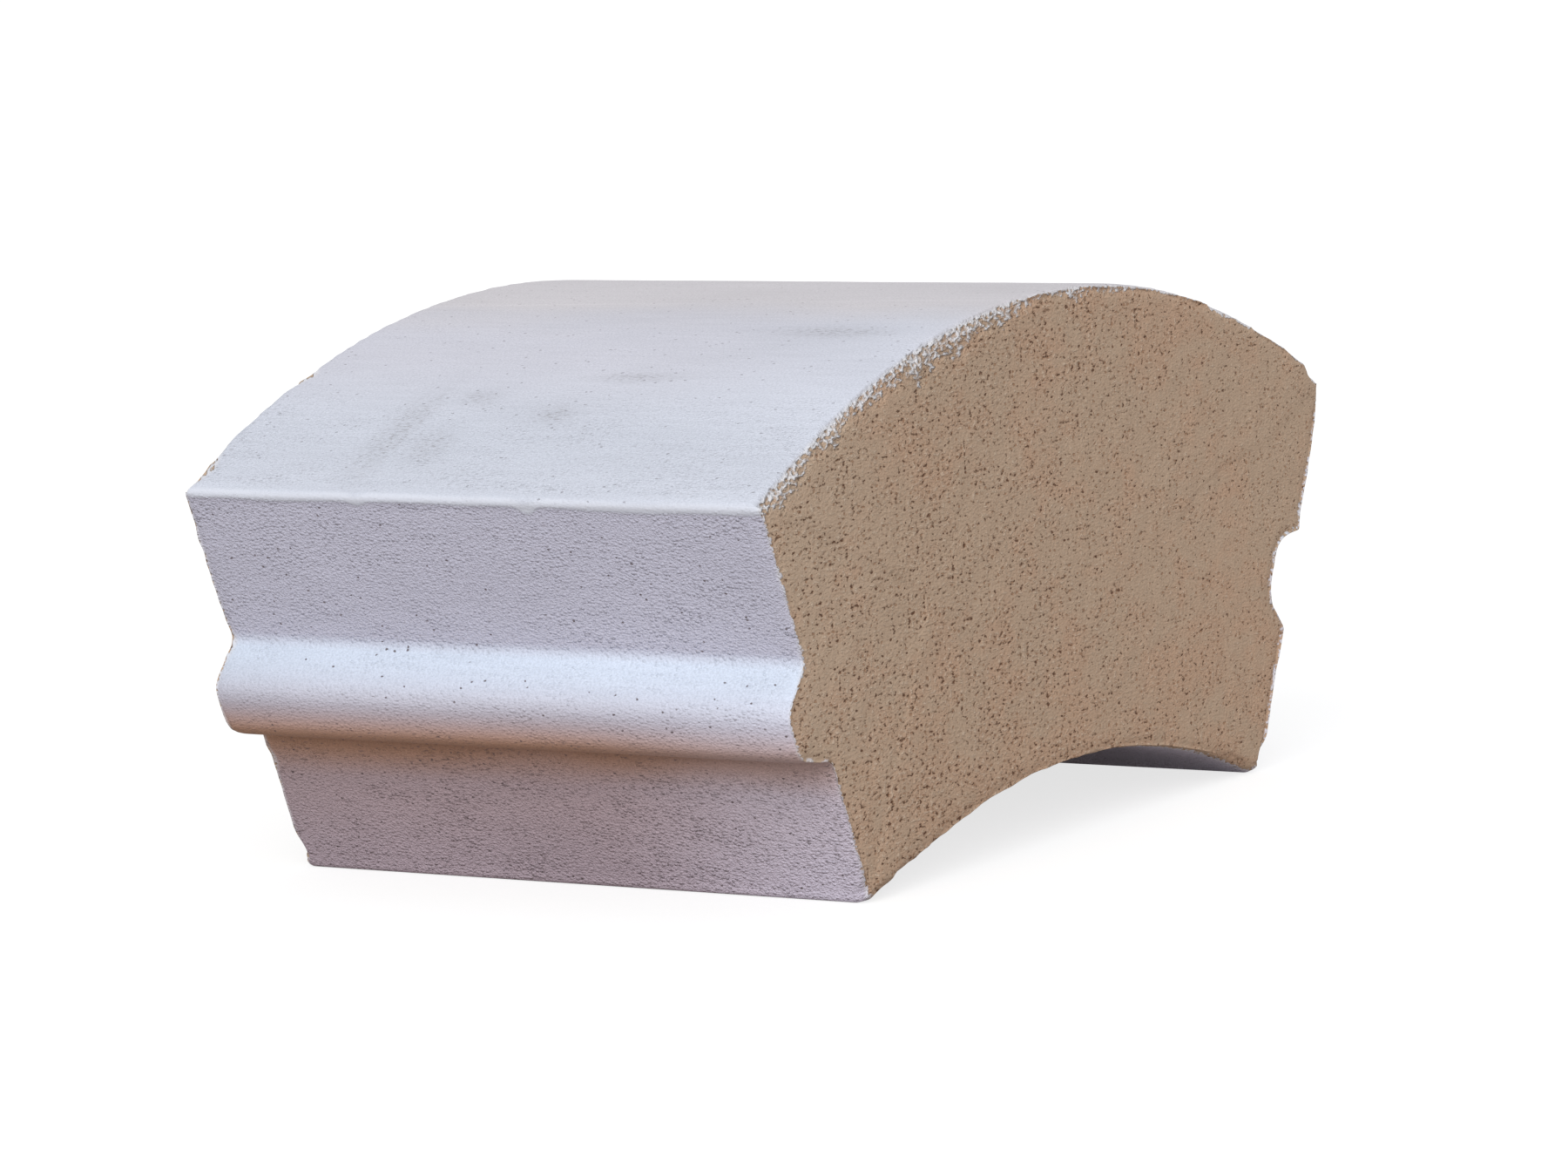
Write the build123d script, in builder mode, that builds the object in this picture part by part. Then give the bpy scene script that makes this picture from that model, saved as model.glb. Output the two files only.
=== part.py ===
from build123d import *
from math import atan2, degrees, hypot
import os

# Arch block of fired refractory clay, in millimetres. The length runs along X,
# the wedge lies across Y and its outer arc faces up. The block stands on its
# two feet at Z = 0, with the tongue on the -Y joint face and the matching
# groove on the +Y joint face.

# Wedge section
length = 230.0  # along the axis of the arch
outer_chord = 400.0  # between the two outer arrises
inner_chord = 282.0  # between the outsides of the feet
chord_height = 138.0  # from the feet up to the outer arrises
outer_rise = 52.0  # of the outer arc above its chord
soffit_rise = 26.0  # of the hollow arc above the feet
foot_width = 5.0  # narrow flat that each foot stands on

# Tongue, measured square to the joint face
tongue_centre = 77.0  # from the outer arris, down the joint face
tongue_root = 38.0  # width where it leaves the face
tongue_height = 16.5
tongue_flank = 30.0  # degrees off square
tongue_crown_radius = 9.0

# Joint with the next block of the arch
mortar_joint = 3.0  # between the two faces
tongue_play = 1.0  # all round the tongue in its groove

# Softened edges along the length
tongue_cove_radius = 3.0  # hollow corner where the tongue leaves its face
groove_mouth_radius = 2.0
arris_radius = 2.5
foot_radius = 3.0

joint_run = (outer_chord - inner_chord) / 2
joint_depth = hypot(joint_run, chord_height)
wedge_angle = degrees(atan2(joint_run, chord_height))

# Tongue seen from the end, standing on the joint face
with BuildSketch() as tongue:
    Trapezoid(tongue_root, tongue_height, 90 - tongue_flank, align=(Align.CENTER, Align.MIN))
    fillet(tongue.vertices().group_by(Axis.Y)[-1], tongue_crown_radius)

# Groove that takes the next block's tongue across the mortar joint
with BuildSketch() as groove:
    with Locations((0, -mortar_joint)):
        add(tongue.sketch)
    offset(amount=tongue_play)

# Whole section of the block, across the arch
with BuildSketch(Plane.YZ) as section:
    with BuildLine():
        outer_arc = ThreePointArc(
            (-outer_chord / 2, chord_height),
            (0, chord_height + outer_rise),
            (outer_chord / 2, chord_height),
        )
        tongue_face = Line(outer_arc @ 0, (-inner_chord / 2, 0))
        tongue_foot = Line(tongue_face @ 1, (-inner_chord / 2 + foot_width, 0))
        groove_face = Line(outer_arc @ 1, (inner_chord / 2, 0))
        groove_foot = Line(groove_face @ 1, (inner_chord / 2 - foot_width, 0))
        ThreePointArc(tongue_foot @ 1, (0, soffit_rise), groove_foot @ 1)
    make_face()
    fillet(section.vertices().group_by(Axis.Y)[-1], arris_radius)
    foot_corners = section.vertices().group_by(Axis.Y)[0].sort_by(Axis.X)
    fillet((foot_corners[0], foot_corners[-1]), foot_radius)
    with Locations(Location(tongue_face @ (tongue_centre / joint_depth), 90 + wedge_angle)):
        add(tongue.sketch)
    with Locations(Location(groove_face @ (tongue_centre / joint_depth), 90 - wedge_angle)):
        add(groove.sketch, mode=Mode.SUBTRACT)
    for joint_face, root_radius in (
        (tongue_face, tongue_cove_radius),
        (groove_face, groove_mouth_radius),
    ):
        on_face = section.vertices().filter_by(lambda corner: joint_face.distance_to(corner) < 0.001)
        fillet(on_face.sort_by(Axis.Y)[1:3], root_radius)

# The block is one pressed piece, the same section from end to end
with BuildPart() as brick:
    extrude(section.sketch, amount=length / 2, both=True)

brick.part.label = "brick"
os.makedirs("parts", exist_ok=True)
export_step(brick.part, "parts/brick.step")
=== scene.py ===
import math
from itertools import product

import bpy
import numpy as np
from mathutils import Matrix, Vector


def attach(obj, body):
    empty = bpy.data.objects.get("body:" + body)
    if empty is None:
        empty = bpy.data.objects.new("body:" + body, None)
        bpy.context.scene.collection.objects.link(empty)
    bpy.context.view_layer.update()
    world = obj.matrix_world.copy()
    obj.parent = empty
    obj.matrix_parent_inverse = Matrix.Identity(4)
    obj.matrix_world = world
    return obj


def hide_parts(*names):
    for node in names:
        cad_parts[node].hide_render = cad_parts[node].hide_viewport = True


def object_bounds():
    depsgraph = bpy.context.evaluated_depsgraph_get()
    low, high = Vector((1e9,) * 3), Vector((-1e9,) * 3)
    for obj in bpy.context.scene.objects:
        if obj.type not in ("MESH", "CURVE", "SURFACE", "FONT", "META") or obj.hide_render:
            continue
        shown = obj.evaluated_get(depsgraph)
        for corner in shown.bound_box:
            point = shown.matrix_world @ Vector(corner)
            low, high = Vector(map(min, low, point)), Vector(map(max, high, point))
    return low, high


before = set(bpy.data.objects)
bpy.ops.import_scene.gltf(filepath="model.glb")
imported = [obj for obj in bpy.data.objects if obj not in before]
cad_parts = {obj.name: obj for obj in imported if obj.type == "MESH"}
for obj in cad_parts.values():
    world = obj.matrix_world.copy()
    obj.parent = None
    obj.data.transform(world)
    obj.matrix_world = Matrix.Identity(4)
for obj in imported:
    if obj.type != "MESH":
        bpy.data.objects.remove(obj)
cad_low, cad_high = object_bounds()

# Sizes of the block in metres, seen from its near end: Y runs across the arch and Z up
MM = 0.001
LENGTH = cad_high.x - cad_low.x
OUTER_CHORD = 400 * MM
INNER_CHORD = 282 * MM
CHORD_HEIGHT = 138 * MM
OUTER_RISE = 52 * MM
SOFFIT_RISE = 26 * MM
FOOT_WIDTH = 5 * MM
ARRIS_RADIUS = 2.5 * MM
FOOT_RADIUS = 3 * MM

# Tongue on the -Y joint face, and the groove that takes the next block's tongue
TONGUE_CENTRE = 77 * MM
TONGUE_ROOT = 38 * MM
TONGUE_HEIGHT = 16.5 * MM
TONGUE_FLANK = math.radians(30)
TONGUE_CROWN = 9 * MM
TONGUE_COVE = 3 * MM
GROOVE_MOUTH = 2 * MM
MORTAR = 3 * MM
PLAY = 1 * MM

JOINT_RUN = (OUTER_CHORD - INNER_CHORD) / 2
JOINT_DEPTH = math.hypot(JOINT_RUN, CHORD_HEIGHT)
WEDGE_SIN = JOINT_RUN / JOINT_DEPTH
WEDGE_COS = CHORD_HEIGHT / JOINT_DEPTH

# Steps of the grid: across the arch, up the joint faces, and along the length
ACROSS = 252
UP = 110
ALONG = 56

# Crowding of those steps near the arrises, the bends of the joint and the ends: reach and gain
ARRIS_CROWDING = (5 * MM, 2.0)
BEND_CROWDING = (6 * MM, 1.6)
END_CROWDING = (9 * MM, 9.0)

# Distances down the tongue face from the outer arris, along the surface, with its corners sharp
TONGUE_TOP = TONGUE_CENTRE - TONGUE_ROOT / 2
FLANK_LENGTH = TONGUE_HEIGHT / math.cos(TONGUE_FLANK)
CROWN_FLAT = TONGUE_ROOT - 2 * TONGUE_HEIGHT * math.tan(TONGUE_FLANK)
CROWN_LOW = TONGUE_TOP + FLANK_LENGTH + CROWN_FLAT
TONGUE_LOW = CROWN_LOW + FLANK_LENGTH
FACE_END = TONGUE_LOW + JOINT_DEPTH - TONGUE_CENTRE - TONGUE_ROOT / 2

# Broken places on the near end's arris, as y, z, reach and depth
NEAR_CHIPS = (
    (-196 * MM, 142 * MM, 7 * MM, 2.8 * MM),
    (-150 * MM, 160 * MM, 9 * MM, 1.2 * MM),
    (-139 * MM, 1 * MM, 7 * MM, 3.0 * MM),
    (139 * MM, 1 * MM, 6 * MM, 2.0 * MM),
    (118 * MM, 171 * MM, 8 * MM, 1.8 * MM),
    (197 * MM, 140 * MM, 9 * MM, 4.5 * MM),
)

# Flakes lost along the far end's arris, as y, z, reach and the width of clay laid bare
FAR_FLAKES = (
    (-188 * MM, 144 * MM, 10 * MM, 5.0 * MM),
    (-128 * MM, 169 * MM, 7 * MM, 5.0 * MM),
    (-176 * MM, 82 * MM, 6 * MM, 3.0 * MM),
    (-158 * MM, 40 * MM, 4 * MM, 2.0 * MM),
)

# Edge of the thick wash: how far below the outer arris it hangs, how much it wanders, how much
# lower it hangs at the near end, and its rounding
WASH_EDGE = 2.6 * MM
WASH_EDGE_WANDER = 0.5 * MM
WASH_EDGE_NEAR = 0.8 * MM
WASH_EDGE_ROUNDING = 0.8 * MM

# Painted highlight of the bead along that edge: how far above the edge its middle lies, and its
# reach each way
BEAD_MIDDLE = 2.4 * MM
BEAD_REACH = 2.6 * MM

# Drips from that edge, as the place along X, the drop and the reach each way
DRIPS = ((-43 * MM, 1.6 * MM, 6 * MM), (24 * MM, 2.6 * MM, 6 * MM))

# Grey smudges on the outer arc, as x, y, and their reach along X and Y
SMUDGES = (
    (-49 * MM, -165 * MM, 5 * MM, 26 * MM),
    (-30 * MM, -172 * MM, 4.5 * MM, 9 * MM),
    (-30 * MM, -142 * MM, 5 * MM, 5 * MM),
    (6 * MM, -152 * MM, 6 * MM, 5 * MM),
    (22 * MM, -125 * MM, 15 * MM, 3.5 * MM),
    (72 * MM, -80 * MM, 20 * MM, 6 * MM),
)

# Upright scratches and a single hole on the near end, as y, z, half width and half height
MARKS = (
    (-69.5 * MM, 139.5 * MM, 1.0 * MM, 13 * MM),
    (54 * MM, 173 * MM, 1.0 * MM, 12 * MM),
    (-119 * MM, 88 * MM, 2.8 * MM, 2.0 * MM),
)

# Worn radius of the near end's arris in millimetres, and what is added to it where the brush
# swept over it, where it crumbles, and at the foot
NEAR_RADIUS = 1.5
BRUSHED_RADIUS = 2.4
CRUMBLY_RADIUS = 1.2
NEAR_FOOT_RADIUS = 2.6

# The same for the far end, with what is added over the outer arc and at the foot
FAR_RADIUS = 2.1
CROWN_RADIUS = 0.6
FAR_FOOT_RADIUS = 1.8
FLAKE_DEPTH = 0.25  # share of a flake's bare width

# How much sooner the wash under the block breaks up and stops, in millimetres
UNDER_START = 4.5
UNDER_STOP = 5.5

# How fast the margin of the wash falls where it is broken up, and how far round it crumbs reach
MARGIN_FALL = 0.18
CRUMB_REACH = 2.5 * MM

# Depths of the relief in millimetres: all over, more of it on the ends, and round the arrises
WAVE_DEPTH = 0.35
LUMP_DEPTH = 0.12
GRIT_DEPTH = 0.05
END_LUMP_DEPTH = 0.25
END_GRIT_DEPTH = 0.35
EDGE_CRUMB_DEPTH = 1.2
EDGE_GRIT_DEPTH = 0.7
EDGE_REACH = 3 * MM
DEEPEST_SHARE = 0.48  # of the wear radius

# Step from the thick wash down to the thin: its depth in millimetres, and where it starts and ends
WASH_STEP = 0.4
STEP_START = 1.4 * MM
STEP_END = 4.4 * MM

# Lumps of noise, as their size and a seed
ARRIS_LUMPS = (12 * MM, 3)
ARRIS_CRUMBS = (5 * MM, 5)
FACE_WAVES = ((70 * MM, 38 * MM, 38 * MM), 11)
FACE_LUMPS = (14 * MM, 12)
FACE_GRIT = (6 * MM, 13)
EDGE_CRUMBS = (4.4 * MM, 14)
EDGE_GRIT = (2.6 * MM, 15)
CLUSTERS = ((14 * MM, 9 * MM, 5 * MM), 21)
MOTTLE = (24 * MM, 23)
CLOUDS = ((65 * MM, 30 * MM, 30 * MM), 25)

# Factors and shifts that stir the bits of random_share
CELL_FACTORS = (0x8DA6B343, 0xD8163841, 0xCB1AB31F)
SEED_FACTOR = 0x9E3779B1
STIRS = ((15, 0x2C1B3C6D), (12, 0x297A2D39))
LAST_SHIFT = 15
BITS = 32

# The camera stands where the photograph's did: metres from its aim, and its lens in millimetres
CAMERA_AZIMUTH = math.radians(31.618)
CAMERA_ELEVATION = math.radians(7.302)
CAMERA_ROLL = math.radians(-2.373)
CAMERA_DISTANCE = 2.1775
CAMERA_AIM = Vector((-0.0011, 0, 0.0824))
CAMERA_LENS = 141.1


def make_camera():
    """A long lens that looks at the aim point from the near end, rolled a little."""
    flat = math.cos(CAMERA_ELEVATION)
    back = Vector(
        (
            math.sin(CAMERA_AZIMUTH) * flat,
            -math.cos(CAMERA_AZIMUTH) * flat,
            math.sin(CAMERA_ELEVATION),
        )
    )
    level = Vector((0, 0, 1)).cross(back).normalized()
    upright = back.cross(level)
    right = level * math.cos(CAMERA_ROLL) + upright * math.sin(CAMERA_ROLL)
    camera = bpy.data.objects.new("camera", bpy.data.cameras.new("camera"))
    camera.data.lens = CAMERA_LENS
    camera.matrix_world = Matrix.Translation(CAMERA_AIM + back * CAMERA_DISTANCE) @ Matrix(
        (right, back.cross(right), back)
    ).transposed().to_4x4()
    bpy.context.scene.collection.objects.link(camera)
    bpy.context.scene.camera = camera


def random_share(cell, seed):
    """A random number from 0 to 1 for each whole-numbered cell.

    The cell's three indices are multiplied by odd constants, joined by exclusive or with the seed,
    and stirred by shifts and products in 32 bits."""
    stirred = np.uint32(seed * SEED_FACTOR % 2**BITS)
    for axis, factor in enumerate(CELL_FACTORS):
        stirred = stirred ^ cell[..., axis].astype(np.int64).astype(np.uint32) * np.uint32(factor)
    for shift, factor in STIRS:
        stirred = (stirred ^ stirred >> np.uint32(shift)) * np.uint32(factor)
    return (stirred ^ stirred >> np.uint32(LAST_SHIFT)) / 2**BITS


def unevenness(points, size, seed):
    """Smooth noise from -1 to 1 in lumps of that size.

    Random values at the eight corners of the cell around each point are blended by 3t^2 - 2t^3."""
    place = points / size
    cell = np.floor(place)
    blend = place - cell
    blend = blend * blend * (3 - 2 * blend)
    total = 0
    for corner in product((0, 1), repeat=3):
        share = np.prod(np.where(corner, blend, 1 - blend), axis=-1)
        total = total + share * random_share(cell + corner, seed)
    return 2 * total - 1


def lumps(points, size, seed):
    """The same noise as a share from 0 to 1."""
    return 0.5 + 0.5 * unevenness(points, size, seed)


def layered(points, size, seed):
    """Noise about 0, mostly within 1 either way: lumps of that size, and weaker half as wide."""
    size = np.array(size)
    return 2 * unevenness(points, size, seed) + unevenness(points, size / 2, seed + 1)


def ease(low, high, value):
    """0 below low, 1 above high, and 3t^2 - 2t^3 of the share t of the way between."""
    t = np.clip((value - low) / (high - low), 0, 1)
    return t * t * (3 - 2 * t)


def hump(value, centre, reach):
    """The bell curve exp(-((value - centre) / reach)^2)."""
    return np.exp(-(((value - centre) / reach) ** 2))


def arc(half_chord, foot, rise, trim=0.0, count=400):
    """Points of the circle that stands `rise` above its chord, from -Y to +Y.

    With radius R = (c^2 + h^2) / 2h for half chord c and rise h, a point at angle a from the top
    is (R sin a, foot + h - R + R cos a). The trim is cut off each end of the arc."""
    radius = (half_chord**2 + rise**2) / (2 * rise)
    reach = math.asin(half_chord / radius) - trim / radius
    angle = np.linspace(-reach, reach, count)
    return np.column_stack((radius * np.sin(angle), foot + rise - radius + radius * np.cos(angle)))


def rounded_corner(before, corner, after, radius, count=16):
    """Arc of that radius that touches both runs which meet at the corner.

    Its centre lies on the bisector, radius / sin(half the angle) away, and its points turn evenly
    from one touching point to the other."""
    back = (before - corner) / np.linalg.norm(before - corner)
    ahead = (after - corner) / np.linalg.norm(after - corner)
    half = math.acos(back @ ahead) / 2
    bisector = (back + ahead) / np.linalg.norm(back + ahead)
    centre = corner + bisector * radius / math.sin(half)
    start = corner + back * radius / math.tan(half) - centre
    end = corner + ahead * radius / math.tan(half) - centre
    turn = math.pi - 2 * half
    share = np.linspace(0, 1, count + 1)[:, None]
    turned = np.sin((1 - share) * turn) * start + np.sin(share * turn) * end
    return centre + turned / math.sin(turn)


def joint_side(side, root, proud, cove, crown):
    """Runs of the outline down one joint face: half the arris, the face, and half the foot.

    Corners are set out as t down the face from the outer arris and n square to it, so
    y = side (chord / 2 - t sin w + n cos w) and z = chord height - t cos w - n sin w,
    with w the wedge angle. The tongue has n above 0 and the groove n below 0."""
    flank = abs(proud) * math.tan(TONGUE_FLANK)
    face = np.array(
        [
            (0, 0),
            (TONGUE_CENTRE - root / 2, 0),
            (TONGUE_CENTRE - root / 2 + flank, proud),
            (TONGUE_CENTRE + root / 2 - flank, proud),
            (TONGUE_CENTRE + root / 2, 0),
            (JOINT_DEPTH, 0),
        ]
    )
    y = side * (OUTER_CHORD / 2 - face[:, 0] * WEDGE_SIN + face[:, 1] * WEDGE_COS)
    z = CHORD_HEIGHT - face[:, 0] * WEDGE_COS - face[:, 1] * WEDGE_SIN
    top = arc(OUTER_CHORD / 2, CHORD_HEIGHT, OUTER_RISE)[1] * (-side, 1)
    foot = np.array((side * (INNER_CHORD / 2 - FOOT_WIDTH), 0))
    corners = np.vstack((top, np.column_stack((y, z)), foot))
    radii = (ARRIS_RADIUS, cove, crown, crown, cove, FOOT_RADIUS)
    bends = [rounded_corner(*corners[k : k + 3], radius) for k, radius in enumerate(radii)]
    middle = len(bends[0]) // 2
    down = np.vstack((bends[0][middle:], *bends[1:-1], bends[-1][: middle + 1]))
    return bends[0][: middle + 1], down, np.vstack((bends[-1][middle:], foot))


def run_lengths(run):
    """Distance along a run from its start to each of its points."""
    return np.concatenate(([0], np.cumsum(np.linalg.norm(np.diff(run, axis=0), axis=1))))


def crowded(total, steps, places, reach, gain, samples=4000):
    """Distances from 0 to total in that many steps, closer together near the given places.

    The density is 1 + gain times a bell curve at each place; its running sum is inverted."""
    fine = np.linspace(0, total, samples)
    density = 1 + gain * sum(hump(fine, place, reach) for place in places)
    count = np.concatenate(([0], np.cumsum((density[1:] + density[:-1]) / 2)))
    return np.interp(np.linspace(0, count[-1], steps + 1), count, fine)


def along_run(run, distances):
    """Points of a run at those distances along it."""
    lengths = run_lengths(run)
    return np.column_stack([np.interp(distances, lengths, run[:, axis]) for axis in range(2)])


def section_sides():
    """The four sides of the section: under, over, tongue side and groove side, foot to arris."""
    tongue = joint_side(-1, TONGUE_ROOT, TONGUE_HEIGHT, TONGUE_COVE, TONGUE_CROWN)
    widened = PLAY / math.cos(TONGUE_FLANK) - MORTAR * math.tan(TONGUE_FLANK)
    floor = MORTAR - PLAY - TONGUE_HEIGHT
    groove = joint_side(1, TONGUE_ROOT + 2 * widened, floor, GROOVE_MOUTH, TONGUE_CROWN + PLAY)
    soffit = arc(INNER_CHORD / 2 - FOOT_WIDTH, 0, SOFFIT_RISE)
    outer = arc(OUTER_CHORD / 2, CHORD_HEIGHT, OUTER_RISE, trim=ARRIS_RADIUS)
    under = np.vstack((tongue[2], soffit[1:-1], groove[2][::-1]))
    over = np.vstack((tongue[0][::-1], outer, groove[0]))
    sides = []
    for run in (under, over):
        total = run_lengths(run)[-1]
        sides.append(along_run(run, crowded(total, ACROSS, (0, total), *ARRIS_CROWDING)))
    for run in (tongue[1][::-1], groove[1][::-1]):
        total = run_lengths(run)[-1]
        middle = total - TONGUE_CENTRE
        places = (0, total, middle - TONGUE_ROOT / 2, middle + TONGUE_ROOT / 2)
        sides.append(along_run(run, crowded(total, UP, places, *BEND_CROWDING)))
    return sides


def shares(run):
    """Share of a run's length at each of its points."""
    lengths = run_lengths(run)
    return lengths / lengths[-1]


def section_grid(under, over, left, right):
    """Grid of points over the section from its four sides, by the Coons rule.

    Lines blended between left and right and between under and over are added, and the plane
    blend of the four corners is taken away once, so the grid meets all four sides exactly."""
    a = (shares(under) + shares(over))[:, None, None] / 2
    b = (shares(left) + shares(right))[None, :, None] / 2
    rows = (1 - b) * under[:, None] + b * over[:, None]
    columns = (1 - a) * left[None] + a * right[None]
    corners = (
        (1 - a) * (1 - b) * under[0]
        + a * (1 - b) * under[-1]
        + (1 - a) * b * over[0]
        + a * b * over[-1]
    )
    return rows + columns - corners


def ring_of(grid):
    """The grid's border as one closed ring, counter-clockwise seen from +X."""
    return np.concatenate((grid[:-1, 0], grid[-1, :-1], grid[:0:-1, -1], grid[0, :0:-1]))


def outward(ring):
    """Unit normals of a counter-clockwise ring: its direction of travel turned a quarter right."""
    travel = np.roll(ring, -1, axis=0) - np.roll(ring, 1, axis=0)
    normal = np.column_stack((travel[:, 1], -travel[:, 0]))
    return normal / np.linalg.norm(normal, axis=1, keepdims=True)


def ring_runs():
    """Distance round the outline from the nearest outer arris to each point of the ring.

    It grows down the joint face and in under the block, and is below 0 on the outer arc."""
    under, over, left, right = SIDES
    down_left = run_lengths(left)[-1] - run_lengths(left)
    down_right = run_lengths(right)[-1] - run_lengths(right)
    arch = run_lengths(over)
    soffit = run_lengths(under)
    top = -np.minimum(arch, arch[-1] - arch)
    bottom = np.minimum(soffit + down_left[0], soffit[-1] - soffit + down_right[0])
    return np.concatenate((bottom[:-1], down_right[:-1], top[:0:-1], down_left[:0:-1]))


def broken(y, z, chips):
    """Sum of the chips' depths, each times a bell curve of the distance to it."""
    return sum(
        depth * hump(np.hypot(y - at_y, z - at_z), 0, reach) for at_y, at_z, reach, depth in chips
    )


def end_wear(places, run, end):
    """How the arris of an end is worn: its radius, and where the wash breaks up and stops.

    The last two are distances round the corner, below 0 on the long face and above 0 on the end.
    All are set zone by zone round the section by eased steps, made uneven by noise, and worked
    out in millimetres. Under the block the wash stops a little before the end."""
    y, z = places[:, 1], places[:, 2]
    crown = ease(1 * MM, -3 * MM, run)
    foot = ease(14 * MM, 4 * MM, z)
    under = ease(FACE_END - 3 * MM, FACE_END + 5 * MM, run)
    lump = lumps(places, *ARRIS_LUMPS)
    crumb = lumps(places, *ARRIS_CRUMBS)
    if end > 0:
        brushed = crown * ease(90 * MM, 10 * MM, y) * (0.3 + 0.7 * ease(-15 * MM, -60 * MM, y))
        crumbly = crown * ease(30 * MM, 90 * MM, y)
        chipped = broken(y, z, NEAR_CHIPS)
        radius = NEAR_RADIUS + BRUSHED_RADIUS * brushed
        radius += CRUMBLY_RADIUS * lump * crumbly + NEAR_FOOT_RADIUS * foot
        starts = 0.2 - 0.8 * crumb - 0.7 * brushed * (0.3 + 0.7 * lump) - 0.8 * crumbly * lump
        stops = 0.6 + 1.4 * crumb + 17.0 * brushed * lump * (0.35 + 0.65 * crumb) - 0.8 * crumbly
    else:
        bare = broken(y, z, FAR_FLAKES)
        chipped = FLAKE_DEPTH * bare
        radius = FAR_RADIUS + CROWN_RADIUS * crown + FAR_FOOT_RADIUS * foot
        starts = 0.1 - 0.9 * crumb - bare / MM
        stops = 0.7 - 0.8 * bare / MM
    radius = radius * (0.55 + 0.5 * lump + 0.4 * crumb) * MM + chipped
    return radius, (starts - UNDER_START * under) * MM, (stops - UNDER_STOP * under) * MM


def nearest_on_ring(points, ring, blocks=40):
    """Index of the ring point nearest to each point, worked out block by block as whole arrays."""
    nearest = [
        ((block[:, None] - ring[None]) ** 2).sum(2).argmin(1)
        for block in np.array_split(points, blocks)
    ]
    return np.concatenate(nearest)


SIDES = section_sides()
GRID = section_grid(*SIDES)
RING = ring_of(GRID)
RING_OUT = outward(RING)
RING_RUN = ring_runs()


def rounded_edge(inset, setback, wear):
    """Angle round the worn arris, the depth below the long face and the setback from the end.

    A point lies `setback` from the end on a long face or `inset` from the outline on the end.
    Within the wear radius r both become r (1 - cos f) and r (1 - sin f), where the angle f goes
    from 0 on the long face to a quarter turn on the end, evenly with inset - setback."""
    share = np.clip((inset - setback) / wear, -1, 1)
    angle = (share + 1) * math.pi / 4
    worn = np.abs(inset - setback) < wear
    depth = np.where(worn, wear * (1 - np.cos(angle)), inset)
    back = np.where(worn, wear * (1 - np.sin(angle)), setback)
    return angle, depth, back


def wash_margin(turn, starts, stops):
    """Distance by which the wash reaches past a point, from how far round the corner it lies.

    It falls evenly on the long face and on the end, and hardly at all where the wash is broken up,
    between the start and the stop."""
    middle = (starts + stops) / 2
    half = (stops - starts) / 2
    past = turn - middle
    return -MARGIN_FALL * past - np.sign(past) * np.maximum(np.abs(past) - half, 0)


def crumbled(turn, starts, stops):
    """Share of crumbs: 1 where the wash is broken up, easing to 0 at the reach of the crumbs.

    Where that band is narrow, there are fewer."""
    middle = (starts + stops) / 2
    half = (stops - starts) / 2
    broad = ease(-0.5 * MM, 3.1 * MM, half)
    return broad * ease(CRUMB_REACH, 0, np.abs(turn - middle) - half)


def long_faces():
    """The ring carried along X: points, outward directions and the values that finish the skin."""
    half = LENGTH / 2
    stations = crowded(LENGTH, ALONG, (0, LENGTH), *END_CROWDING) - half
    x = np.repeat(stations, len(RING))
    ring = np.tile(RING, (len(stations), 1))
    out = np.tile(RING_OUT, (len(stations), 1))
    run = np.tile(RING_RUN, len(stations))
    end = np.where(x > 0, 1, -1)
    at_end = np.column_stack((end * half, ring))
    near, far = end_wear(at_end, run, 1), end_wear(at_end, run, -1)
    wear, starts, stops = (np.where(end > 0, first, second) for first, second in zip(near, far))
    setback = half - np.abs(x)
    angle, depth, back = rounded_edge(0 * x, setback, wear)
    placed = np.column_stack((end * (half - back), ring - out * depth[:, None]))
    outwards = np.column_stack((end * np.sin(angle), out * np.cos(angle)[:, None]))
    return placed, outwards, np.column_stack((x, ring)), run, -setback, wear, starts, stops


def end_face(end):
    """The section's grid at one end, inside its border: the same values as for the long faces."""
    half = LENGTH / 2
    grid = GRID[1:-1, 1:-1].reshape(-1, 2)
    near = nearest_on_ring(grid, RING)
    inset = -((grid - RING[near]) * RING_OUT[near]).sum(1)
    run = RING_RUN[near]
    x = np.full(len(near), end * half)
    wear, starts, stops = end_wear(np.column_stack((x, RING[near])), run, end)
    angle, depth, back = rounded_edge(inset, 0 * inset, wear)
    shift = RING_OUT[near] * (inset - depth)[:, None]
    placed = np.column_stack((x - end * back, grid + shift))
    outwards = np.column_stack((end * np.sin(angle), RING_OUT[near] * np.cos(angle)[:, None]))
    return placed, outwards, np.column_stack((x, grid)), run, inset, wear, starts, stops


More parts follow.
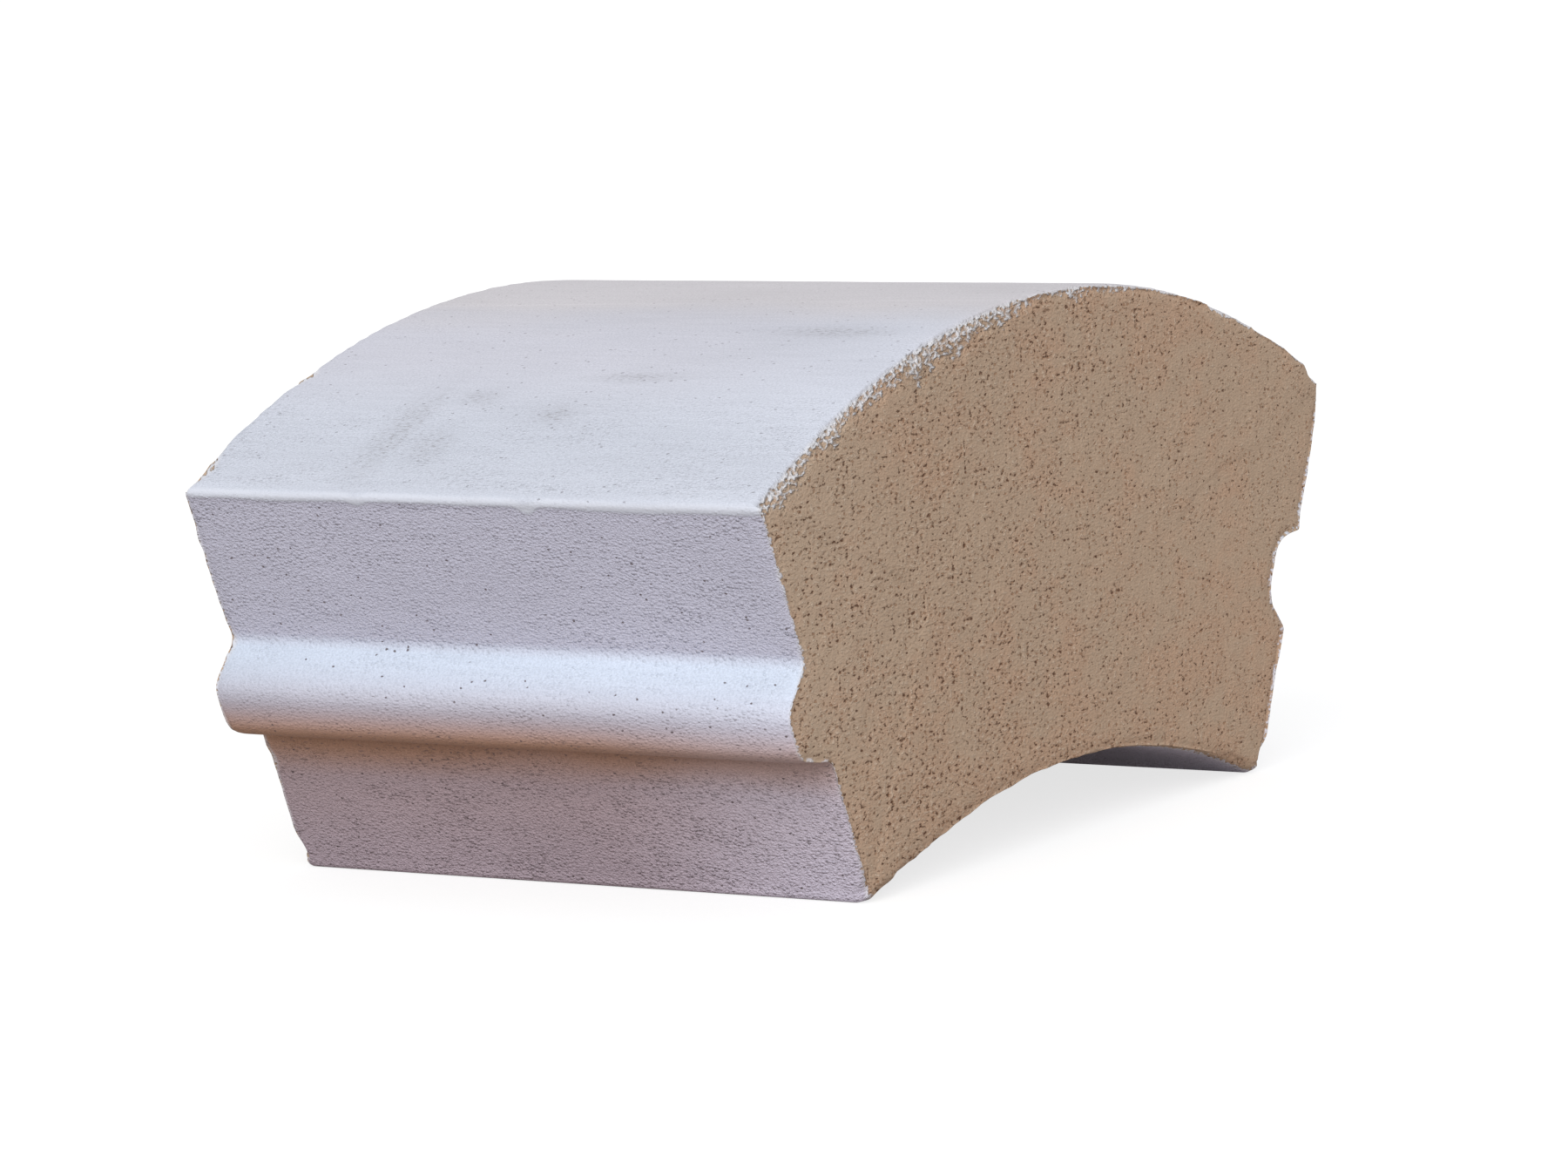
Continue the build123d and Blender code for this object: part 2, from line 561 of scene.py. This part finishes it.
def relief(places, outwards, run, turn, wear, crumbs):
    """How far each point sinks below the drawn form, in metres, as a sum of uneven lumps.

    The long faces wave a little, the ends are rougher and the arrises of the ends crumble. The
    joint faces lie a step below the edge of the thick wash that comes over the outer arris. Near
    a worn arris the depth is held to about half its radius, to keep the skin from folding, and
    it fades out at the feet."""
    on_end = np.abs(outwards[:, 0])
    wave = lumps(places, *FACE_WAVES)
    lump = lumps(places, *FACE_LUMPS)
    grit = lumps(places, *FACE_GRIT)
    crumb = lumps(places, *EDGE_CRUMBS)
    fine = EDGE_GRIT_DEPTH * lumps(places, *EDGE_GRIT)
    step = ease(STEP_START, STEP_END, run) * ease(FACE_END, FACE_END - 5 * MM, run)
    edge = hump(turn, 0, EDGE_REACH)
    sunk = WAVE_DEPTH * wave + WASH_STEP * step
    sunk += (LUMP_DEPTH + END_LUMP_DEPTH * on_end) * lump
    sunk += (GRIT_DEPTH + END_GRIT_DEPTH * on_end) * grit
    sunk += edge * (EDGE_CRUMB_DEPTH * crumb + fine)
    sunk += crumbs * (EDGE_CRUMB_DEPTH * crumb**2 + fine)
    deepest = DEEPEST_SHARE * wear + 0.5 * turn**2 / wear
    return np.minimum(sunk * MM, deepest) * ease(-1 * MM, 4 * MM, places[:, 2])


def slow_changes(places, run, crumbs):
    """What changes slowly over the skin: lumps of noise, and the shares set zone by zone.

    The clay is sound where few pits open it, most on the groove side, least at the foot and the
    crest, which are redder as well. The brown under the tongue, which fades below it, is partly a
    stain and partly painted shade."""
    y, z = places[:, 1], places[:, 2]
    clusters = layered(places, *CLUSTERS)
    mottle = layered(places, *MOTTLE)
    clouds = layered(places, *CLOUDS)
    calm = ease(-60 * MM, 110 * MM, y)
    lower = ease(100 * MM, 10 * MM, z)
    crest = ease(130 * MM, 185 * MM, z)
    # Brown band under the tongue: partly a real stain, partly painted shade cast by the tongue
    stain_and_shade = 0.72 * ease(TONGUE_LOW + 14 * MM, TONGUE_LOW - 3 * MM, run + 2 * MM * clouds)
    stain_and_shade += 0.14 * ease(TONGUE_LOW + 50 * MM, TONGUE_LOW + 10 * MM, run)
    smudges = sum(
        hump(places[:, 0], at_x, reach_x) * hump(y, at_y, reach_y)
        for at_x, at_y, reach_x, reach_y in SMUDGES
    )
    return {
        "clusters": clusters,
        "mottle": mottle,
        "clouds": clouds,
        "soundness": 0.35 * calm + 0.2 * clusters + 1.2 * crumbs - 0.12 * lower - 0.15 * crest,
        "redness": ease(0.5, -1.6, 0.6 * clusters + 0.4 * mottle - lower - 0.7 * crest),
        "stain_and_shade": stain_and_shade * ease(CROWN_LOW - 17 * MM, CROWN_LOW - 1 * MM, run) * (y < 0),
        "smudges": smudges,
    }


def brick_faces():
    """Quads of the closed skin: the ring rows, and both ends with their shared borders."""
    count = len(RING)
    row = np.arange(count)
    first = (np.arange(ALONG)[:, None] * count + row).ravel()
    second = (np.arange(ALONG)[:, None] * count + np.roll(row, -1)).ravel()
    quads = [np.column_stack((first, second, second + count, first + count))]
    inner = (ACROSS - 1) * (UP - 1)
    for end, border in ((-1, 0), (1, ALONG * count)):
        start = (ALONG + 1) * count + (inner if end > 0 else 0)
        index = np.empty((ACROSS + 1, UP + 1), int)
        index[1:-1, 1:-1] = start + np.arange(inner).reshape(ACROSS - 1, UP - 1)
        index[:-1, 0] = border + row[:ACROSS]
        index[-1, :-1] = border + row[ACROSS : ACROSS + UP]
        index[:0:-1, -1] = border + row[ACROSS + UP : 2 * ACROSS + UP]
        index[0, :0:-1] = border + row[2 * ACROSS + UP :]
        quad = np.stack((index[:-1, :-1], index[1:, :-1], index[1:, 1:], index[:-1, 1:]), axis=2)
        quads.append(quad.reshape(-1, 4)[:, ::end])
    return np.vstack(quads)


def mesh_piece(name, points, faces, **attributes):
    """A smooth mesh object of quads at the origin, with a number at each point per attribute."""
    mesh = bpy.data.meshes.new(name)
    mesh.vertices.add(len(points))
    mesh.vertices.foreach_set("co", points.astype(np.float32).ravel())
    mesh.loops.add(faces.size)
    mesh.loops.foreach_set("vertex_index", faces.astype(np.int32).ravel())
    mesh.polygons.add(len(faces))
    mesh.polygons.foreach_set("loop_start", np.arange(0, faces.size, 4, dtype=np.int32))
    mesh.update(calc_edges=True)
    mesh.polygons.foreach_set("use_smooth", np.ones(len(faces), bool))
    for label, values in attributes.items():
        attribute = mesh.attributes.new(label, "FLOAT", "POINT")
        attribute.data.foreach_set("value", values.astype(np.float32))
    mesh.validate()
    piece = bpy.data.objects.new(name, mesh)
    bpy.context.scene.collection.objects.link(piece)
    return piece


def make_brick():
    """The whole skin of the block, pressed back inside the drawn box where lumps reach past it."""
    parts = [long_faces(), end_face(-1), end_face(1)]
    placed, outwards, places, run, turn, wear, starts, stops = (
        np.concatenate(values) for values in zip(*parts)
    )
    crumbs = crumbled(turn, starts, stops)
    points = placed - outwards * relief(places, outwards, run, turn, wear, crumbs)[:, None]
    points = np.clip(points, np.array(cad_low), np.array(cad_high))
    return mesh_piece(
        "fired_block",
        points,
        brick_faces(),
        down_run=run,
        turn=turn,
        wash_margin=wash_margin(turn, starts, stops),
        crumbs=crumbs,
        **slow_changes(places, run, crumbs),
    )


# How far the noise node's values are spread, and how much further for each level of detail
NOISE_SPREAD = 6.2
DETAIL_SPREAD = 1.2


class Value:
    """An output of a node. Operators on it add Math nodes, so shader maths reads as Python."""

    def __init__(self, shading, socket):
        self.shading = shading
        self.socket = socket

    def __add__(self, other):
        return self.shading.maths("ADD", self, other)

    def __sub__(self, other):
        return self.shading.maths("SUBTRACT", self, other)

    def __rsub__(self, other):
        return self.shading.maths("SUBTRACT", other, self)

    def __mul__(self, other):
        return self.shading.maths("MULTIPLY", self, other)

    def __truediv__(self, other):
        return self.shading.maths("DIVIDE", self, other)

    __radd__ = __add__
    __rmul__ = __mul__


class Shading:
    """The nodes of a material or a world, added by expressions."""

    def __init__(self, owner):
        owner.use_nodes = True
        self.owner = owner
        self.nodes = owner.node_tree.nodes
        self.links = owner.node_tree.links
        self.nodes.clear()

    def node(self, kind, settings, sockets, output=0):
        """Adds a node, sets it up, then fills its sockets with numbers, colours or outputs."""
        node = self.nodes.new("ShaderNode" + kind)
        for name, setting in settings.items():
            setattr(node, name, setting)
        for name, filling in sockets.items():
            if isinstance(filling, Value):
                self.links.new(filling.socket, node.inputs[name])
            else:
                node.inputs[name].default_value = filling
        return Value(self, node.outputs[output]) if node.outputs else node

    def maths(self, operation, *values):
        """Result of a Math node on numbers or outputs."""
        return self.node("Math", {"operation": operation}, dict(enumerate(values)))

    def sees_backdrop(self):
        """1 for the rays that show the white around the block: from the camera, gloss and glass."""
        kinds = [
            self.node("LightPath", {}, {}, f"Is {kind} Ray")
            for kind in ("Camera", "Glossy", "Transmission")
        ]
        return self.maths("MAXIMUM", kinds[0], self.maths("MAXIMUM", kinds[1], kinds[2]))

    def attribute(self, name):
        """Number that the mesh holds at each point under that name."""
        return self.node("Attribute", {"attribute_name": name}, {}, "Fac")

    def part(self, where, axis):
        """One coordinate of a place."""
        return self.node("SeparateXYZ", {}, {"Vector": where}, axis)

    def plane(self, u, v):
        """Place on a flat plane, for the 2D patterns."""
        return self.node("CombineXYZ", {}, {"X": u, "Y": v})

    def noise(self, plane, size, detail):
        """Smooth noise about 0 over a plane, in lumps of that size, spread to about 1 either way.

        The node's own values stay close to 0.5, and closer still with more detail."""
        sockets = {"Vector": plane, "Scale": 1 / size, "Detail": detail}
        fac = self.node("TexNoise", {"noise_dimensions": "2D"}, sockets, "Fac")
        return (fac - 0.5) * (NOISE_SPREAD + DETAIL_SPREAD * detail)

    def cells(self, plane, size):
        """Distance to the nearest of points scattered over a plane, and a random share for it."""
        sockets = {"Vector": plane, "Scale": 1 / size}
        distance = self.node("TexVoronoi", {"voronoi_dimensions": "2D"}, sockets, "Distance")
        return distance, self.part(Value(self, distance.socket.node.outputs["Color"]), "X")

    def eased(self, low, high, value):
        """0 below low, 1 above high, and eased between."""
        sockets = {"Value": value, "From Min": low, "From Max": high}
        return self.node("MapRange", {"interpolation_type": "SMOOTHSTEP"}, sockets)

    def near(self, value, centre, reach):
        """1 at the centre, eased to 0 at that distance from it."""
        return self.eased(reach, 0.0, self.maths("ABSOLUTE", value - centre))

    def spot(self, where, centre, reach):
        """1 at the centre, eased to 0 on the ellipsoid with that reach along each axis."""
        squash = [1 / span for span in reach]
        off = [-middle / span for middle, span in zip(centre, reach)]
        sockets = {0: where, 1: squash, 2: off}
        place = self.node("VectorMath", {"operation": "MULTIPLY_ADD"}, sockets)
        away = self.node("VectorMath", {"operation": "LENGTH"}, {0: place}, "Value")
        return self.eased(1.0, 0.0, away)

    def mix(self, share, first, second):
        """Colour that goes from the first to the second as the share goes from 0 to 1."""
        return self.node("Mix", {"data_type": "RGBA"}, {0: share, 6: first, 7: second}, 2)

    def tinted(self, colour, factor):
        """Colour with each channel multiplied by the factor."""
        return self.node("VectorMath", {"operation": "SCALE"}, {0: colour, "Scale": factor})


def colour(red, green, blue):
    """Opaque linear colour."""
    return (red, green, blue, 1.0)


# Fired clay, as linear colours
CLAY = colour(0.533, 0.391, 0.280)
CLAY_PINK = colour(0.565, 0.370, 0.252)
CLAY_RUST = colour(0.330, 0.160, 0.080)
# Dark brown of the pits: partly the clay, partly painted shade in them
CLAY_PIT_AND_SHADE = colour(0.130, 0.052, 0.024)
# Pale grains of the clay, also used as a painted highlight on raised crumbs
CLAY_GRAIN_AND_HIGHLIGHT = colour(0.780, 0.640, 0.500)

# White wash, as linear colours
WASH_COOL = colour(0.606, 0.632, 0.709)
WASH_MAUVE = colour(0.602, 0.602, 0.668)
WASH_WARM = colour(0.625, 0.600, 0.625)
WASH_THIN = colour(0.578, 0.572, 0.680)
# Wash on the tongue, painted lighter and bluer as if lit from above: painted light
WASH_TONGUE_LIT = colour(0.652, 0.720, 0.836)
# Wash lower on the joint face: partly thinner wash over the clay, partly painted shade
WASH_LOW_THIN_AND_SHADED = colour(0.465, 0.378, 0.425)
WASH_LOW_NEAR = colour(0.650, 0.600, 0.705)
# Painted highlight along the bead under the outer arris
BEAD_HIGHLIGHT = colour(0.700, 0.725, 0.800)
WASH_FLECK = colour(0.820, 0.810, 0.830)
# Dark specks in the wash, and the dark of its small holes, which is partly painted shade
WASH_SPECK_AND_HOLE_SHADE = colour(0.130, 0.095, 0.100)
WASH_GREY = colour(0.350, 0.345, 0.370)
# Brown under the tongue: partly a real stain, partly painted shade
TONGUE_STAIN_AND_SHADE = colour(0.480, 0.255, 0.140)

# Roughness of the clay and of the wash, and how far the wash stands above the clay in millimetres
CLAY_ROUGHNESS = 0.94
WASH_ROUGHNESS = 0.80
SPECULAR = 0.3
WASH_THICKNESS = 0.12

# How low the torn noise goes before a pit opens, and how much a mark on the end lifts that
PIT_LEVEL = -1.8
MARK_LIFT = 2.2

# Grain sizes of the fine patterns
SAND_SIZE = 1.3 * MM
GRIT_SIZE = 0.65 * MM
DASH_SIZE = 0.75 * MM
TORN_SIZE = 1.4 * MM
FLAKE_SIZE = 1.7 * MM
STREAK_SIZE = 2.2 * MM

# How those patterns are drawn out: the smaller the number, the longer the grain that way
SIDE_GRAIN_X = 0.75
END_GRAIN_Y = 0.42
END_GRAIN_Z = 0.77
SIDE_DASH_X = 0.3
END_DRAG_Y = 0.6
END_DRAG_Z = 0.024
TORN_Y = 0.55
STREAK_X = 0.08


def clay_finish(shading, where, torn, grit, drag, cells):
    """Bare fired clay: its colour and its height in millimetres.

    The pits are the low places of torn, a noise nearly twice as wide as high, most of them where
    the clay is least sound, with rusty rims; their dark is partly the clay and partly painted
    shade.
    Small rusty pores pepper the rest, and pale grains stand out of it, painted paler partly as
    highlight. Faint scratches run upright."""
    sound = shading.attribute("soundness")
    middle, kind = cells
    bite = PIT_LEVEL - torn - sound - 0.06 * drag
    for y, z, half_width, half_height in MARKS:
        mark = shading.spot(where, (LENGTH / 2, y, z), (1.0, half_width, half_height))
        bite = bite + MARK_LIFT * mark
    pit = shading.eased(0.0, 0.6, bite)
    rim = shading.eased(-1.1, 0.1, bite)
    pore = shading.eased(0.34, 0.16, middle + 0.1 * grit + 0.5 * (1 - kind))
    pore = pore * shading.eased(0.74, 0.86, kind - 0.1 * sound)
    # Raised pale grains, painted paler partly as a highlight where they catch the light
    grain = shading.eased(1.0, 1.8, torn - sound)
    body = shading.mix(shading.attribute("redness") * 0.7, CLAY, CLAY_PINK)
    body = shading.tinted(body, 0.965 + 0.04 * grit + 0.015 * drag)
    dusty = shading.eased(-90 * MM, -180 * MM, shading.part(where, "Y"))
    body = shading.mix(grain * 0.4 + dusty * 0.09, body, CLAY_GRAIN_AND_HIGHLIGHT)
    body = shading.mix(rim * 0.4, body, CLAY_RUST)
    body = shading.mix(pore * 0.6, body, CLAY_RUST)
    # Pits darken with depth: partly dark clay, partly painted shade in the hollows
    body = shading.mix(pit * 0.9, body, CLAY_PIT_AND_SHADE)
    height = shading.eased(1.2, -0.6, sound) * 0.06 * torn + 0.04 * grit + 0.16 * grain - 0.2 * pore
    height = height - 0.8 * shading.eased(-0.6, 0.7, bite)
    return body, height


def wash_finish(shading, along, across, down, margin, grit, dash, cells, crumbs):
    """Brushed white wash: its colour and its height in millimetres.

    It is thick and smooth over the outer arc and ends in a soft bead just under the arris.
    A painted highlight runs along the bead, and another along a faint ridge on the arc. On the
    joint faces it is thin over sandy clay, with fine dashes along X and a few small holes, whose
    dark is partly painted shade. From the tongue down it is painted lighter and bluer, as lit.
    Lower down it darkens, partly as thinner wash and partly as painted shade, with painted
    shade on the tongue's underside and a brown there that is partly stain and partly painted
    shade. It has a paler rim along its ragged edge at the ends."""
    patch, wander, cloud = (shading.attribute(name) for name in ("clusters", "mottle", "clouds"))
    grain, kind = cells
    near = shading.eased(10 * MM, 115 * MM, along)
    edge = WASH_EDGE + WASH_EDGE_WANDER * wander + WASH_EDGE_NEAR * near
    for place, drop, reach in DRIPS:
        edge = edge + drop * shading.near(along, place, reach)
    above = edge - down
    thick = shading.eased(-WASH_EDGE_ROUNDING, WASH_EDGE_ROUNDING, above)
    thin = 1 - thick
    far = shading.eased(-60 * MM, -115 * MM, along)
    mauve = shading.eased(-170 * MM, -105 * MM, across) * (1 - 0.6 * near)
    over = shading.tinted(shading.mix(mauve, WASH_COOL, WASH_MAUVE), 1 + 0.05 * near)
    over = shading.mix(shading.eased(-90 * MM, -40 * MM, across + 9 * MM * cloud), over, WASH_WARM)
    low = shading.eased(CROWN_LOW - 35 * MM, CROWN_LOW - 1 * MM, down)
    past = shading.eased(TONGUE_LOW - 3 * MM, TONGUE_LOW + 2 * MM, down)
    tongue = shading.eased(TONGUE_TOP - 4 * MM, TONGUE_TOP + 2 * MM, down)
    # From the top of the tongue down, the wash is painted lighter and bluer as if lit: painted
    # light
    under = shading.mix(tongue, WASH_THIN, WASH_TONGUE_LIT)
    # Lower down the wash is darker and warmer: partly thinner wash, partly painted shade under the
    # tongue
    under = shading.mix(low, under, shading.mix(near, WASH_LOW_THIN_AND_SHADED, WASH_LOW_NEAR))
    coat = shading.mix(thick, shading.tinted(under, 1 - 0.05 * far), over)
    # Brown under the tongue, partly stain and partly painted shade
    coat = shading.mix(shading.attribute("stain_and_shade") * (1 - 0.3 * near), coat, TONGUE_STAIN_AND_SHADE)
    # Painted shade on the tongue's underside, from its crown down to its lower edge
    painted_shade_under_tongue = shading.eased(CROWN_LOW - 9 * MM, CROWN_LOW, down) * (1 - past)
    coat = shading.tinted(coat, 1 - 0.2 * painted_shade_under_tongue)
    speck = shading.eased(0.2, 1.6, dash + 0.5 * grit)
    smudged = shading.attribute("smudges") * thick * (0.2 + 0.8 * speck)
    coat = shading.mix(smudged, coat, WASH_GREY)
    streak = shading.noise(shading.plane(STREAK_X * along, down), STREAK_SIZE, 1.0)
    # Painted highlight along a faint ridge that runs over the outer arc
    ridge_highlight = shading.near(across - 0.09 * along, -42 * MM, 3 * MM) * shading.eased(-1.5, 0.5, cloud)
    coat = shading.tinted(coat, 1.0 + 0.012 * streak + 0.025 * cloud + 0.04 * grit + 0.04 * ridge_highlight)
    # Painted highlight along the bead, lighter and bluer than the wash
    coat = shading.mix(0.75 * shading.near(above, BEAD_MIDDLE, BEAD_REACH), coat, BEAD_HIGHLIGHT)
    sandy = shading.eased(-125 * MM, -170 * MM, across) * shading.eased(-1 * MM, -7 * MM, down)
    dashed = shading.eased(1.5, 2.3, dash + 0.3 * patch + 1.1 * low - 0.8 * tongue + 0.4 * sandy)
    coat = shading.mix((0.35 + 0.25 * low) * (thin + 0.6 * sandy) * dashed, coat, WASH_SPECK_AND_HOLE_SHADE)
    rim = shading.eased(3.5 * MM, 0.5 * MM, margin)
    coat = shading.mix(0.4 * rim + 0.6 * crumbs, coat, WASH_FLECK)
    hollow = shading.eased(0.985, 0.99, kind + 0.003 * patch + 0.004 * low - 0.004 * tongue)
    hole = hollow * shading.eased(0.34, 0.16, grain + 0.06 * grit)
    # Small holes: clay showing through, darkened partly as painted shade in the hole
    coat = shading.mix(hole * (0.9 - 0.5 * thick), coat, WASH_SPECK_AND_HOLE_SHADE)
    sand = shading.eased(0.55, 0.1, grain + 0.08 * grit) * shading.eased(0.1, 1.0, kind - hollow)
    sand = sand * (0.8 + 0.2 * patch + 0.15 * cloud)
    raised = 0.2 + 0.8 * thin + 0.4 * sandy - 0.5 * tongue + 0.7 * past
    height = raised * (0.58 * sand + 0.08 * grit + 0.02 * dash)
    height = height - 0.2 * hole + 0.28 * thick
    return coat, height


def make_brick_finish():
    """White wash over bare fired clay, by the margin that the wash keeps from its ragged edge.

    Where the wash breaks up it stays on the tops of the crumbs, which the brush reached. The fine
    grain is laid out on flat planes: Y and Z on the ends, length and distance down on the long
    faces, with the tongue side a metre off from the groove side."""
    shading = Shading(bpy.data.materials.new("washed_fired_clay"))
    where = shading.node("TexCoord", {}, {}, "Object")
    along, across, up = (shading.part(where, axis) for axis in "XYZ")
    down, margin, crumbs, turn = (
        shading.attribute(name) for name in ("down_run", "wash_margin", "crumbs", "turn")
    )
    end = shading.maths("GREATER_THAN", turn, 0.0)
    side = 1 - end
    unrolled = side * (down + shading.maths("LESS_THAN", across, 0.0))
    skin = shading.plane(
        side * SIDE_GRAIN_X * along + end * END_GRAIN_Y * across, unrolled + end * END_GRAIN_Z * up
    )
    cells = shading.cells(skin, SAND_SIZE)
    grit = shading.noise(skin, GRIT_SIZE, 1.0)
    drawn = shading.plane(
        side * SIDE_DASH_X * along + end * END_DRAG_Y * across, unrolled + end * END_DRAG_Z * up
    )
    dash = shading.noise(drawn, DASH_SIZE, 1.0)
    squeezed = shading.plane(TORN_Y * across + along, up)
    torn = shading.noise(squeezed, TORN_SIZE, 2.5)
    flake = shading.noise(squeezed, FLAKE_SIZE, 1.0)
    clay, clay_height = clay_finish(shading, where, torn, grit, dash, cells)
    wash, wash_height = wash_finish(shading, along, across, down, margin, grit, dash, cells, crumbs)
    ragged = 0.45 * torn + (0.5 + 0.9 * crumbs) * flake
    washed = shading.eased(-1.0, 1.0, (margin / MM + ragged) / (0.3 + 1.3 * crumbs))
    height = clay_height + washed * (wash_height + WASH_THICKNESS - clay_height)
    height = height + crumbs * (0.25 * flake + 0.2 * torn)
    bump = shading.node("Bump", {}, {"Strength": 1.0, "Distance": MM, "Height": height})
    sockets = {
        "Base Color": shading.mix(washed, clay, wash),
        "Roughness": CLAY_ROUGHNESS - (CLAY_ROUGHNESS - WASH_ROUGHNESS) * washed,
        "Specular IOR Level": SPECULAR,
        "Normal": bump,
    }
    shader = shading.node("BsdfPrincipled", {}, sockets)
    shading.node("OutputMaterial", {}, {"Surface": shader})
    return shading.owner


# Light: one wide soft lamp in front, high on the tongue side, and an even pale sky
LAMP_DIRECTION = Vector((0.30, -0.82, 0.49))
LAMP_STRENGTH = 1.75
LAMP_WIDTH = math.radians(50)
LAMP_TINT = (0.985, 0.99, 1.0)
SKY_STRENGTH = 0.65
SKY_TINT = colour(0.975, 0.985, 1.0)

# Floor: how far it reaches in metres, the white that is seen, and the light that it sends back
FLOOR_REACH = 30.0
FLOOR_PALE = colour(0.36, 0.36, 0.36)
FLOOR_GLOW = 0.74
FLOOR_BOUNCE = colour(0.47, 0.43, 0.41)
WHITE = colour(1, 1, 1)


def make_floor():
    """A pale floor that shows white, keeps the block's shadow and sends back a duller light.

    It is clear from below."""
    corners = FLOOR_REACH * np.array([(-1, -1, 0), (1, -1, 0), (1, 1, 0), (-1, 1, 0)])
    floor = mesh_piece("floor", corners, np.array([[0, 1, 2, 3]]))
    shading = Shading(bpy.data.materials.new("pale_floor"))
    seen = shading.sees_backdrop()
    below = shading.node("NewGeometry", {}, {}, "Backfacing")
    pale = shading.node("BsdfDiffuse", {}, {"Color": FLOOR_PALE})
    glow = shading.node("Emission", {}, {"Color": WHITE, "Strength": FLOOR_GLOW})
    shown = shading.node("AddShader", {}, {0: pale, 1: glow})
    dull = shading.node("BsdfDiffuse", {}, {"Color": FLOOR_BOUNCE})
    lit = shading.node("MixShader", {}, {0: seen, 1: dull, 2: shown})
    clear = shading.node("BsdfTransparent", {}, {})
    surface = shading.node("MixShader", {}, {0: below, 1: lit, 2: clear})
    shading.node("OutputMaterial", {}, {"Surface": surface})
    floor.data.materials.append(shading.owner)


def make_lights():
    """The soft lamp, and the sky, which shows as white behind the block."""
    light = bpy.data.lights.new("soft_lamp", "SUN")
    light.energy = LAMP_STRENGTH
    light.angle = LAMP_WIDTH
    light.color = LAMP_TINT
    lamp = bpy.data.objects.new("soft_lamp", light)
    lamp.rotation_mode = "QUATERNION"
    lamp.rotation_quaternion = LAMP_DIRECTION.to_track_quat("Z", "Y")
    bpy.context.scene.collection.objects.link(lamp)
    world = bpy.data.worlds.new("pale_sky")
    shading = Shading(world)
    seen = shading.sees_backdrop()
    sky = shading.node("Background", {}, {"Color": SKY_TINT, "Strength": SKY_STRENGTH})
    white = shading.node("Background", {}, {"Color": WHITE})
    shown = shading.node("MixShader", {}, {0: seen, 1: sky, 2: white})
    shading.node("OutputWorld", {}, {"Surface": shown})
    bpy.context.scene.world = world


make_camera()
block = make_brick()
block.data.materials.append(make_brick_finish())
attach(block, "root")
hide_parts("brick")
make_floor()
make_lights()
bpy.context.scene.view_settings.view_transform = "Standard"
